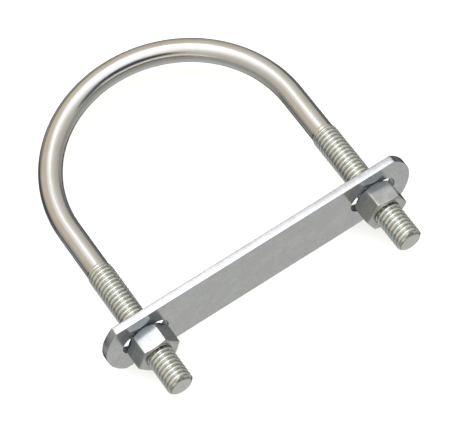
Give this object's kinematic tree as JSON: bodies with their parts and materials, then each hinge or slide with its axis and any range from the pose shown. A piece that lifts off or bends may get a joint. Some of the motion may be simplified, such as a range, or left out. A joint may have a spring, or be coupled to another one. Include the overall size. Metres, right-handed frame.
{
  "type": "u-bolt with strap plate",
  "caption": "Round-bend threaded U-bolt with a slotted strap plate and hex nuts, for clamping around a pipe, mast or rail or giving a fixed eye on a board",
  "frame": {"origin": "midway between the two leg axes, on the strap plate's clamping face (the face toward the bow)", "axes": "X runs across from the left leg to the right leg, +Y runs along the legs toward the bow, +Z is square to the plane of the U"},
  "size_m": [0.1212, 0.1214, 0.0254],
  "materials": {
    "bolt_zinc": "bright zinc plate, glossy on the bow, thread roots darker",
    "plate_zinc": "zinc plate, satin",
    "nut_zinc": "zinc plate, satin with bright flats"
  },
  "bodies": {
    "u_bolt": {"u_bolt": "bolt_zinc"},
    "strap_plate": {"strap_plate": "plate_zinc"},
    "nut_left": {"nut_left": "nut_zinc"},
    "nut_right": {"nut_right": "nut_zinc"}
  },
  "joints": [
    {"name": "plate_slide", "type": "slide", "parent": "u_bolt", "child": "strap_plate", "axis": [0, 1, 0], "range_m": [-0.0137, 0.0283]},
    {"name": "nut_left_turn", "type": "hinge", "parent": "strap_plate", "child": "nut_left", "pos_m": [-0.0455, -0.007, 0], "axis": [0, 1, 0], "range_deg": [-3109, 6420]},
    {"name": "nut_right_turn", "type": "hinge", "parent": "strap_plate", "child": "nut_right", "pos_m": [0.0455, -0.007, 0], "axis": [0, 1, 0], "range_deg": [-3109, 6420]}
  ],
  "couplings": [
    {"joint": "nut_left_turn", "follows": "plate_slide", "rad_per_m": 3957.9},
    {"joint": "nut_right_turn", "follows": "plate_slide", "rad_per_m": 3957.9}
  ]
}
